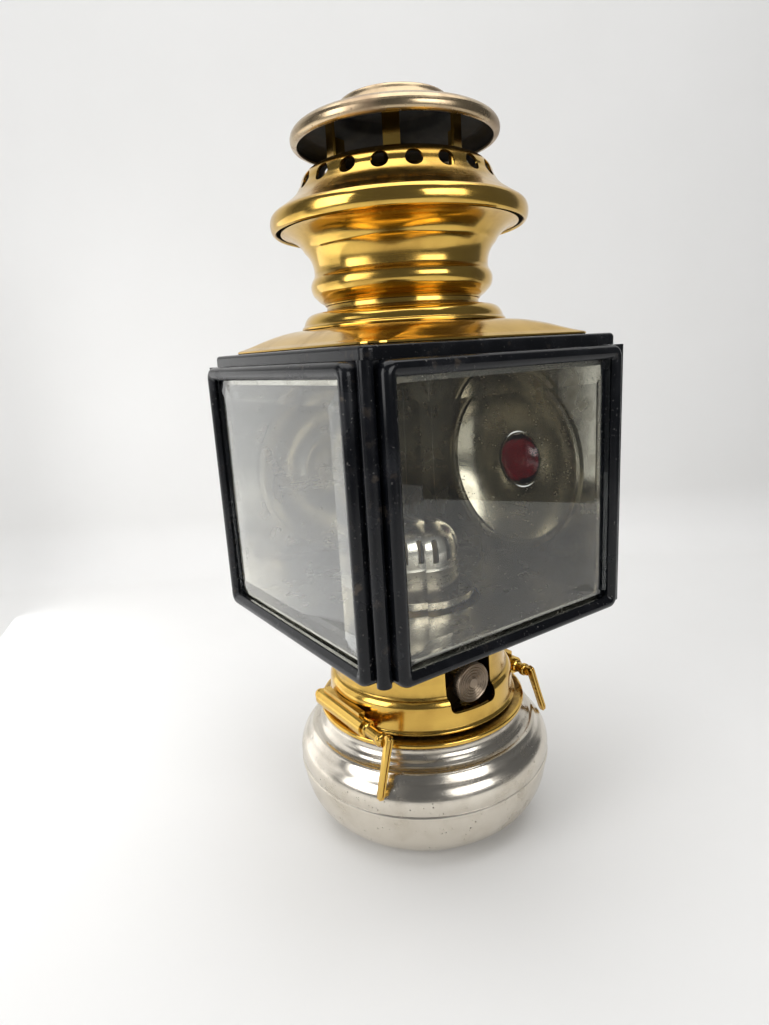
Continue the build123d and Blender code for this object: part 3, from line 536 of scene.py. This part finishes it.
for side, name in ((-1, "front"), (1, "tail")):
    lever_lo, lever_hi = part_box("latch_lever_" + name)
    pin_lo, pin_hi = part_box("latch_pin_" + name)
    front = pin_lo.y / mm + 0.05
    ball_y = pin_hi.y / mm - 2.4
    ball = [(2.4 * math.cos(math.radians(a)),
             ball_y + 2.4 * math.sin(math.radians(a))) for a in range(-30, 91, 12)]
    pin = turned("latch_pin_brass_" + name, [
        [(0, front), (2.0, front)], [(2.0, front), (2.1, front + 1.2)],
        [(2.1, front + 1.2), (2.55, front + 1.6), (2.65, front + 2.4), (2.55, front + 3.2),
         (2.1, front + 3.6)],
        [(2.1, front + 3.6), (2.1, -18.9)], [(2.1, -18.9), (2.65, -18.5)],
        [(2.65, -18.5), (2.65, ball_y - 1.6)],
        [(2.65, ball_y - 1.6), (2.1, ball_y - 1.3)], ball], 0.0, 64,
        Matrix.Translation(Vector((side * pin_x, 0, pin_z)) * mm) @ Matrix.Rotation(-math.pi / 2, 4, "X"))
    finish(pin, brass, "latch_" + name, "latch_pin_" + name)
    drop = pin_z - lever_lo.z / mm - 0.35
    tip = abs(lever_lo.x if side < 0 else lever_hi.x) / mm
    lean = math.atan2(tip - pin_x - 1.0, drop)
    lever_y = (lever_lo.y + lever_hi.y) / 2
    hang = Matrix.Translation((side * pin_x * mm, lever_y, pin_z * mm)) @ Matrix.Rotation(-side * lean, 4,
                                                            "Y")
    lever = strap_lever("latch_lever_brass_" + name, drop / math.cos(lean), 3.35, 1.95, hang)
    finish(lever, brass, "latch_" + name, "latch_lever_" + name)
dress(brass, "latch_barrel_front", "latch_barrel_tail")


# Body sheets: the floor plate, four beaded corner posts and the tail and bracket walls, folded
# in tinplate, enamelled black outside and nickelled inside, soldered at the corners.

def enamel(name, inside=False):
    """Gloss black enamel with dust, rubs and chips; with inside, bare nickel on faces inside the body."""
    made, tree, skin = blank(name)
    place = add(tree, "ShaderNodeTexCoord").outputs["Object"]
    dust = ranged(tree, noise(tree, place, 75.0, 5.0), 0.48, 0.75)
    speck = ranged(tree, noise(tree, place, 900.0, 3.0), 0.66, 0.74)
    rub = sums(tree, "MULTIPLY", ranged(tree, noise(tree, place, 240.0, 4.0), 0.60, 0.70), dust)
    colour = mixed(tree, sums(tree, "MULTIPLY", dust, 0.5), (0.004, 0.0045, 0.006, 1),
                   (0.018, 0.019, 0.023, 1))
    colour = mixed(tree, sums(tree, "MULTIPLY", rub, 0.35), colour, (0.16, 0.12, 0.08, 1))
    colour = mixed(tree, sums(tree, "MULTIPLY", speck, 0.25), colour, (0.35, 0.33, 0.30, 1))
    rough = ranged(tree, dust, 0.0, 1.0, 0.16, 0.38)
    if inside:
        part = add(tree, "ShaderNodeSeparateXYZ", {0: place})
        x_out = add(tree, "ShaderNodeMath", {0: part.outputs[0]}, operation="ABSOLUTE").outputs[0]
        y_out = add(tree, "ShaderNodeMath", {0: part.outputs[1]}, operation="ABSOLUTE").outputs[0]
        far = add(tree, "ShaderNodeMath", {0: x_out, 1: y_out}, operation="MAXIMUM").outputs[0]
        inner = add(tree, "ShaderNodeMath", {0: far, 1: wall_mid * mm}, operation="LESS_THAN").outputs[0]
        old = mixed(tree, dust, (0.40, 0.37, 0.31, 1), (0.22, 0.19, 0.14, 1))
        colour = mixed(tree, inner, colour, old)
        bare_rough = ranged(tree, dust, 0.0, 1.0, 0.14, 0.40)
        rough = add(tree, "ShaderNodeMix", {0: inner, 2: rough, 3: bare_rough},
                    data_type="FLOAT").outputs[0]
        tree.links.new(inner, skin.inputs["Metallic"])
    height = sums(tree, "ADD", sums(tree, "MULTIPLY", noise(tree, place, 55.0, 2.0), 0.7),
                  sums(tree, "MULTIPLY", speck, 0.4))
    bump = add(tree, "ShaderNodeBump", {"Strength": 0.22, "Distance": 0.0005, "Height": height})
    tree.links.new(colour, skin.inputs["Base Color"])
    tree.links.new(rough, skin.inputs["Roughness"])
    tree.links.new(bump.outputs[0], skin.inputs["Normal"])
    skin.inputs["Specular IOR Level"].default_value = 0.28
    return made


wall_lo, wall_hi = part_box("tail_wall")
wall_mid = (wall_lo.x + wall_hi.x) / 2 / mm
body_half = wall_hi.x / mm
sheet_paint = enamel("enamelled_sheet", True)
dress(sheet_paint, "corner_post_near", "corner_post_right", "corner_post_left", "corner_post_far",
      "tail_wall", "bracket_wall")
inner_nickel = metal("inner_nickel", (0.44, 0.41, 0.35), (0.26, 0.22, 0.16), 0.16, 0.6, 0.5, 0.12, 0.12)
dress(inner_nickel, "floor_plate", "ceiling_plate")


# Window frames: moulded bars drawn in brass and japanned black, mitred at the corners and
# screwed to the posts over the panes, which are held from behind by folded nickel strips.

black = enamel("black_japan")


def moulding(name, half, height, mid, corner, section, place):
    """A bar section swept round a rounded rectangle: section points are inset and stand-off."""
    work = bmesh.new()
    tint = work.verts.layers.float.new("grime")
    rows = []
    for k in range(4):
        for i in range(9):
            a = math.radians(90 * k + 90 * i / 8)
            row = []
            for inset, off in section:
                r = corner - inset * 0.7
                cx = (half - inset - r) * (1 if k in (0, 3) else -1)
                cz = (height / 2 - inset - r) * (1 if k in (0, 1) else -1)
                v = work.verts.new(((cx + r * math.cos(a)) * mm, -off * mm,
                                    (mid + cz + r * math.sin(a)) * mm))
                v[tint] = 0.0
                row.append(v)
            rows.append(row)
    for a, b in zip(rows, rows[1:] + rows[:1]):
        for i in range(len(section)):
            j = (i + 1) % len(section)
            work.faces.new((a[i], a[j], b[j], b[i]))
    bmesh.ops.recalc_face_normals(work, faces=work.faces)
    bmesh.ops.transform(work, matrix=place, verts=work.verts)
    mesh = bpy.data.meshes.new(name)
    work.to_mesh(mesh)
    work.free()
    mesh.shade_smooth()
    mesh.set_sharp_from_angle(angle=math.radians(38))
    made = bpy.data.objects.new(name, mesh)
    bpy.context.scene.collection.objects.link(made)
    return made


frame_lo, frame_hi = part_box("frame_side")
frame_half = frame_hi.x / mm
frame_h = (frame_hi.z - frame_lo.z) / mm
frame_mid = (frame_hi.z + frame_lo.z) / 2 / mm
back, face_y = -frame_hi.y / mm, -frame_lo.y / mm
bar = [(0, back), (0, back + 3.2)]
bar += [tuple(p) for p in soften([(0, back + 3.2), (0.3, face_y - 1.5), (1.1, face_y - 0.45),
                                  (2.3, face_y - 0.02),
                                  (3.5, face_y - 0.3), (4.4, face_y - 0.95), (4.95, face_y - 1.5)],
                                  4)[1:]]
bar += [(4.98, face_y - 1.75), (3.2, face_y - 1.75), (3.2, back)]
quarter = Matrix.Rotation(-math.pi / 2, 4, "Z")
frame_side = moulding("window_frame_side", frame_half, frame_h, frame_mid, 4, bar, Matrix.Identity(4))
finish(frame_side, black, "lantern", "frame_side")
frame_front = moulding("window_frame_front", frame_half, frame_h, frame_mid, 4, bar, quarter)
finish(frame_front, black, "lantern", "frame_front")
dress(inner_nickel, "glazing_side", "glazing_front")


def clear_glass(name, tint, rough, smear):
    """Old glass: a film of smears in the gloss, a faint wave in the face, and shadows let through."""
    made, tree, skin = blank(name)
    place = add(tree, "ShaderNodeTexCoord").outputs["Object"]
    film = ranged(tree, noise(tree, place, 48.0, 5.0), 0.45, 0.8)
    gloss = ranged(tree, film, 0.0, 1.0, rough, rough + smear)
    tree.links.new(gloss, skin.inputs["Roughness"])
    wave = add(tree, "ShaderNodeBump",
               {"Strength": 0.03, "Distance": 0.0005, "Height": noise(tree, place, 22.0, 1.0)})
    tree.links.new(wave.outputs[0], skin.inputs["Normal"])
    skin.inputs["Base Color"].default_value = tint
    skin.inputs["Transmission Weight"].default_value = 1.0
    skin.inputs["IOR"].default_value = 1.5
    shadow = add(tree, "ShaderNodeLightPath").outputs["Is Shadow Ray"]
    through = add(tree, "ShaderNodeBsdfTransparent", {"Color": tint}).outputs[0]
    either = add(tree, "ShaderNodeMixShader", {0: shadow, 1: skin.outputs[0], 2: through})
    out = [n for n in tree.nodes if n.type == "OUTPUT_MATERIAL"][0]
    tree.links.new(either.outputs[0], out.inputs[0])
    return made


dress(clear_glass("window_glass", (0.95, 0.975, 0.965, 1), 0.0, 0.008), "glass_side", "glass_front")


# Cornice and roof: a black moulding on top of the walls, and the soft-cornered brass roof
# pressed from one sheet and soldered on it.

dress(black, "top_cornice")


def soft_square(half, corner, steps=14):
    """Points of a rounded square, the same count and order for every size."""
    line = []
    for k, (sx, sy) in enumerate(((1, 1), (-1, 1), (-1, -1), (1, -1))):
        for i in range(steps + 1):
            a = math.radians(90 * k + 90 * i / steps)
            line.append((sx * (half - corner) + corner * math.cos(a),
                         sy * (half - corner) + corner * math.sin(a)))
    return line


roof_half = half_of("roof")
roof_z = low_of("roof")
roof_rise = top_of("roof") - roof_z
levels = [(roof_half - 2, 6, roof_z + 0.05), (roof_half - 0.3, 7, roof_z + 0.05),
          (roof_half, 7, roof_z + 0.4),
          (roof_half - 0.1, 7, roof_z + 0.9), (roof_half - 0.6, 7.2, roof_z + 1.25),
          (roof_half - 1.6, 8, roof_z + 1.6)]
for i in range(1, 15):
    t = i / 14
    levels.append((roof_half - 1.6 - 11.4 * t, 8 + 22 * t ** 0.8,
                   roof_z + 1.6 + (roof_rise - 1.7) * math.sin(t * math.pi / 2)))
hole_r = half_of("chimney_base") - 10.4
levels.append((hole_r, hole_r, roof_z + roof_rise - 0.05))
levels.append((hole_r, hole_r, roof_z + roof_rise - 0.9))
levels.append((roof_half - 15, 26, roof_z + roof_rise - 1.4))
work = bmesh.new()
tint = work.verts.layers.float.new("grime")
rows = []
for half, corner, z in levels:
    row = []
    for x, y in soft_square(half, corner):
        v = work.verts.new((x * mm, y * mm, z * mm))
        v[tint] = 0.55 if z < roof_z + 0.3 else 0.0
        row.append(v)
    rows.append(row)
for a, b in zip(rows, rows[1:] + rows[:1]):
    for i in range(len(a)):
        j = (i + 1) % len(a)
        work.faces.new((a[i], a[j], b[j], b[i]))
bmesh.ops.remove_doubles(work, verts=work.verts, dist=1e-7)
bmesh.ops.recalc_face_normals(work, faces=work.faces)
mesh = bpy.data.meshes.new("roof_brass")
work.to_mesh(mesh)
work.free()
mesh.shade_smooth()
mesh.set_sharp_from_angle(angle=math.radians(34))
roof = bpy.data.objects.new("roof_brass", mesh)
bpy.context.scene.collection.objects.link(roof)
finish(roof, brass, "lantern", "roof")


# Chimney: a rounded flange on the roof, the grooved neck and bead, and the bell that flares
# under the brim, all spun from brass sheet and soldered together.

flange_z = low_of("chimney_base")
neck_z = low_of("chimney_bell") + 0.05
chimney_r = half_of("chimney_base") - 4.4
chimney_base = turned("chimney_base_brass", [
    [(chimney_r + 4.3, flange_z), (chimney_r + 4.4, flange_z + 0.5), (chimney_r + 4.1, flange_z + 1.0)],
    [(chimney_r + 4.1, flange_z + 1.0), (chimney_r + 3.7, flange_z + 1.3)]
    + bow((chimney_r + 3.4, flange_z + 1.9), (chimney_r - 2.0, flange_z + 5.7), 1.3, 7)
    + [(chimney_r - 4.4, flange_z + 6.3)],
    [(chimney_r - 4.4, flange_z + 6.3), (chimney_r - 5.2, flange_z + 6.6),
     (chimney_r - 5.4, neck_z - 0.1)]], 0.8)
finish(chimney_base, brass, "lantern", "chimney_base")
bell = turned("chimney_bell_brass", [
    [(chimney_r - 4.8, neck_z), (chimney_r - 4.4, neck_z + 0.7), (chimney_r - 3.0, neck_z + 1.6),
     (chimney_r - 1.6, neck_z + 3.0)],
    [(chimney_r - 1.6, neck_z + 3.0)] + bow((chimney_r - 0.8, neck_z + 3.9),
                                            (chimney_r - 1.2, neck_z + 9.8), 0.95, 7),
    [(chimney_r - 1.2, neck_z + 9.8)] + bow((chimney_r - 1.6, neck_z + 10.8),
                                            (chimney_r + 1.4, neck_z + 19.2), -1.0, 9)
    + bow((chimney_r + 2.2, neck_z + 20.5), (chimney_r + 9.4, neck_z + 25.1), -0.8, 6)], 0.8)
finish(bell, brass, "lantern", "chimney_bell")


# Vent crown: the wide rolled brim and its pierced shoulder, twenty round air holes punched
# through it, with the inner lip turned down against the strips that carry the cap.

soot, tree, skin = blank("sooted_steel")
place = add(tree, "ShaderNodeTexCoord").outputs["Object"]
flake = noise(tree, place, 160.0, 6.0)
tree.links.new(mixed(tree, ranged(tree, flake, 0.4, 0.7), (0.012, 0.011, 0.010, 1),
                     (0.05, 0.045, 0.04, 1)), skin.inputs["Base Color"])
tree.links.new(ranged(tree, flake, 0.3, 0.7, 0.65, 0.95), skin.inputs["Roughness"])
bump = add(tree, "ShaderNodeBump", {"Strength": 0.4, "Distance": 0.0004, "Height": flake})
tree.links.new(bump.outputs[0], skin.inputs["Normal"])
brim_r = half_of("vent_crown")
brim_z = neck_z + 28.6
crown = turned("vent_crown_brass", [
    [(brim_r - 1.4, brim_z - 3.8), (brim_r - 0.6, brim_z - 3.2), (brim_r - 0.1, brim_z - 1.8),
     (brim_r, brim_z),
     (brim_r - 0.4, brim_z + 1.6), (brim_r - 1.3, brim_z + 2.7), (brim_r - 2.4, brim_z + 3.4)],
    [(brim_r - 2.4, brim_z + 3.4), (brim_r - 4.4, brim_z + 4.7), (brim_r - 7.2, brim_z + 6.6),
     (brim_r - 9.6, brim_z + 8.8), (brim_r - 11.0, brim_z + 10.9)]
    + bow((brim_r - 11.6, brim_z + 12.0), (brim_r - 18.0, brim_z + 17.6), 1.5, 8),
    [(brim_r - 18.0, brim_z + 17.6), (brim_r - 19.2, brim_z + 18.0), (brim_r - 20.2, brim_z + 17.8),
     (brim_r - 21.0, brim_z + 17.0)]], 0.8, 240)
crown.data.materials.append(brass)
vent_count = 20
crown = repeated(crown, punch("vent_punch", disc_outline(2.9, 30), 8, 36), vent_count, brim_r - 11.8,
                 brim_z + 12.0, 9)
finish(crown, brass, "lantern", "vent_crown", soot)


# Cap: a pressed dome with a rolled rim on six riveted brass strips, browned and pinked by the
# heat of the lamp, with a sooted underside; the inner flue below it is black with soot.

cap_brass = metal("heat_stained_brass", (0.50, 0.385, 0.24), (0.26, 0.17, 0.11), 0.22, 0.75, 0.35, 0.16,
                  0.35, (0.02, 0.015, 0.012))
cap_r = half_of("cap")
cap_rim = low_of("cap") + 2.4
cap_top = top_of("cap")
cap = turned("cap_dome", [
    [(cap_r - 2.2, cap_rim - 2.4), (cap_r - 1.2, cap_rim - 2.3), (cap_r - 0.3, cap_rim - 1.5),
     (cap_r, cap_rim),
     (cap_r - 0.3, cap_rim + 1.2)],
    [(cap_r - 0.3, cap_rim + 1.2)] + bow((cap_r - 0.9, cap_rim + 2.1), (cap_r - 6, cap_rim + 3.9), 0.6, 7)
    + bow((cap_r - 8, cap_rim + 4.5), (cap_r - 15.6, cap_rim + 7.4), -0.3, 5),
    [(cap_r - 15.6, cap_rim + 7.4), (cap_r - 16.4, cap_rim + 8.0), (cap_r - 17.2, cap_rim + 9.4)]
    + bow((cap_r - 18, cap_rim + 11.1), (3, cap_top - 0.55), 1.15, 8) + [(0, cap_top - 0.55)]], 0.8)
finish(cap, cap_brass, "lantern", "cap", soot)
for i in range(1, 7):
    dress(brass, "cap_post_" + str(i))
dress(brass, "spider_ring")
dress(soot, "inner_flue")


# Reflectors and covers: two dished mirrors of silvered copper crimped in the tail and bracket
# walls, each closed behind by a black enamelled cover with a riveted flange.

mirror = metal("reflector_silver", (0.46, 0.42, 0.33), (0.24, 0.19, 0.12), 0.10, 0.55, 0.35, 0.06, 0.10,
               (0.10, 0.08, 0.06))
dish_lo, dish_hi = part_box("reflector_tail")
dish_r = dish_hi.y / mm
dish_z = (dish_lo.z + dish_hi.z) / 2 / mm
dish_in = dish_lo.x / mm - body_half
dish_deep = 7
to_tail = Matrix.Translation(Vector((body_half, 0, dish_z)) * mm) @ Matrix.Rotation(math.pi / 2, 4, "Y")
to_bracket = Matrix.Translation(Vector((0, body_half, dish_z)) * mm) @ Matrix.Rotation(-math.pi / 2, 4,
                                                            "X")
jewel_r = 11.5
for place, wall, node, holed in ((to_tail, "tail", "tail", True),
                                 (to_bracket, "bracket", "bracket", False)):
    centre = [] if holed else [(jewel_r - 4, dish_deep - 0.5), (0, dish_deep - 0.2)]
    dish = turned("reflector_dish_" + wall, [
        [(dish_r, dish_in + 0.1), (dish_r, dish_in + 1.2)],
        [(dish_r, dish_in + 1.2), (dish_r - 0.5, dish_in + 1.4), (dish_r - 2.7, dish_in + 1.4)],
        [(dish_r - 2.7, dish_in + 1.4), (dish_r - 3.0, 0.2)],
        bow((dish_r - 3.0, 0.2), (jewel_r + 1.0, dish_deep - 1.2), 2.0, 8) + centre], 0.7, 160, place)
    for v in dish.data.attributes["grime"].data:
        v.value = v.value * 0.25
    finish(dish, mirror, "lantern", "reflector_" + node)
    back_end = [(jewel_r + 2, dish_deep + 1.2)] if holed else [(jewel_r - 4, dish_deep + 1.7),
                                                            (0, dish_deep + 1.95)]
    cover = turned("reflector_cover_" + wall, [
        [(dish_r + 2.3, 0.06), (dish_r + 2.4, 0.5), (dish_r + 2.1, 0.95), (dish_r + 0.6, 1.0)],
        [(dish_r + 0.6, 1.0), (dish_r - 0.3, 1.3)] + bow((dish_r - 1.0, 2.2),
                                                         (jewel_r + 3.0, dish_deep + 0.9), 2.0, 8)
        + back_end], 0.7, 160)
    cover.data.materials.append(black)
    head = turned("flange_rivet", [[(0.85, 0.0), (0.8, 0.3), (0.5, 0.62), (0, 0.72)]], 0.0, 10)
    cover = repeated(cover, head, 8, dish_r + 1.2, 0.7, 22.5, False)
    cover.data.transform(place)
    finish(cover, black, "lantern", "cover_" + node)


# Tail jewel: domed ruby glass held in a thin turned bezel, silvered like the dish round it, in
# the middle of the tail reflector, so that it shows red both outside and through the side pane.

jewel_z = dish_deep - 0.6
jewel = turned("ruby_tail_jewel", [
    [(0, jewel_z - 3.35), (jewel_r * 0.2, jewel_z - 3.3), (jewel_r * 0.5, jewel_z - 3.0),
     (jewel_r * 0.78, jewel_z - 2.2),
     (jewel_r - 0.4, jewel_z - 1.2)],
    [(jewel_r - 0.4, jewel_z - 1.2), (jewel_r - 0.4, jewel_z + 1.8)],
    [(jewel_r - 0.4, jewel_z + 1.8), (jewel_r - 2.4, jewel_z + 3.5), (jewel_r - 5, jewel_z + 4.9),
     (0, jewel_z + 5.75)]],
    0.0, 96, to_tail)
ruby = clear_glass("ruby_glass", (0.07, 0.0008, 0.003, 1), 0.02, 0.03)
finish(jewel, ruby, "lantern", "tail_jewel")
bezel = turned("jewel_bezel_brass", [
    [(jewel_r - 0.28, jewel_z - 0.85), (jewel_r + 0.5, jewel_z - 0.85)],
    [(jewel_r + 0.5, jewel_z - 0.85), (jewel_r + 0.6, jewel_z + 0.4), (jewel_r + 0.55, jewel_z + 2.3)],
    [(jewel_r + 0.55, jewel_z + 2.3), (jewel_r + 0.4, jewel_z + 3.1), (jewel_r - 0.28, jewel_z + 3.35)],
    [(jewel_r - 0.28, jewel_z + 3.35), (jewel_r - 0.28, jewel_z - 0.85)]], 0.0, 120, to_tail)
finish(bezel, mirror, "lantern", "jewel_bezel")


# Bracket: a bowed steel strap over the bracket wall's cover, riveted top and bottom, with a
# socket tube for the carriage's prong, all enamelled with the body.

dress(black, "bracket_socket", "bracket_strap")


# Setting: a pale table running up into a pale wall, a soft lamp each side, a broad one overhead
# and a dim card at the left rear that shows as a veil in the front pane. The table stops short
# on the right, so the side pane reflects it only in its lower half.

floor_mat, tree, skin = blank("pale_table")
place = add(tree, "ShaderNodeTexCoord").outputs["Object"]
tone = noise(tree, place, 9.0, 4.0)
tree.links.new(mixed(tree, tone, (0.82, 0.815, 0.80, 1), (0.87, 0.865, 0.855, 1)),
               skin.inputs["Base Color"])
skin.inputs["Roughness"].default_value = 0.55
ahead = Vector((0.5628, 0.8266, 0))
aside = Vector((0.8266, -0.5628, 0))
wall_off = 0.36
curve = 0.05
work = bmesh.new()
table_front = -0.75
table_left = -1.5
table_right = 0.64
wall_top = 1.5
sweep = [(table_front, 0)] + [(wall_off - curve + curve * math.sin(a * math.pi / 24),
                               curve - curve * math.cos(a * math.pi / 24))
                       for a in range(13)] + [(wall_off, wall_top)]
left_edge = [work.verts.new(ahead * d + aside * table_left + Vector((0, 0, z - 0.0002))) for d,
             z in sweep]
right_edge = [work.verts.new(ahead * d + aside * table_right + Vector((0, 0, z - 0.0002))) for d,
              z in sweep]
for i in range(len(sweep) - 1):
    work.faces.new((left_edge[i], right_edge[i], right_edge[i + 1], left_edge[i + 1]))
mesh = bpy.data.meshes.new("table_and_wall")
work.to_mesh(mesh)
work.free()
mesh.shade_smooth()
backdrop = bpy.data.objects.new("table_and_wall", mesh)
backdrop.data.materials.append(floor_mat)
bpy.context.scene.collection.objects.link(backdrop)


def soft_lamp(name, place, aim, size, power):
    light = bpy.data.lights.new(name, "AREA")
    light.shape = "RECTANGLE"
    light.size = size[0]
    light.size_y = size[1]
    light.energy = power
    lamp = bpy.data.objects.new(name, light)
    lamp.location = place
    lamp.rotation_euler = (Vector(aim) - Vector(place)).to_track_quat("-Z", "Y").to_euler()
    bpy.context.scene.collection.objects.link(lamp)
    return lamp


key = soft_lamp("left_soft_lamp", (-0.72, 0.03, 0.40), (0, 0, 0.16), (0.42, 0.50), 2.6)
fill = soft_lamp("right_soft_lamp", (0.04, -0.78, 0.42), (0, 0, 0.16), (0.50, 0.36), 2.2)
over = soft_lamp("overhead_soft_lamp", (0.10, 0.12, 1.15), (0.05, 0.05, 0.1), (1.3, 1.3), 13.0)
back = soft_lamp("left_back_card", (-0.17, 0.24, 0.12), (0.0, 0.18, 0.12), (0.30, 0.24), 0.22)
world = bpy.data.worlds.new("studio")
world.use_nodes = True
world.node_tree.nodes["Background"].inputs[0].default_value = (0.95, 0.97, 1.0, 1)
world.node_tree.nodes["Background"].inputs[1].default_value = 0.13
bpy.context.scene.world = world
bpy.context.scene.view_settings.view_transform = "Standard"

eye = Vector((-0.15624, -0.20946, 0.18925))
look = Vector((0.547625, 0.804422, -0.230243))
across = Vector((0.817607, -0.572940, -0.057088))
upward = Vector((0.177838, 0.156986, 0.971457))
lens = bpy.data.cameras.new("camera")
lens.sensor_fit = "VERTICAL"
lens.sensor_height = 36
lens.lens = 23.46
lens.clip_start = 0.01
camera = bpy.data.objects.new("camera", lens)
turn = Matrix((across, upward, -look)).transposed().to_4x4()
camera.matrix_world = Matrix.Translation(eye) @ turn
bpy.context.scene.collection.objects.link(camera)
bpy.context.scene.camera = camera
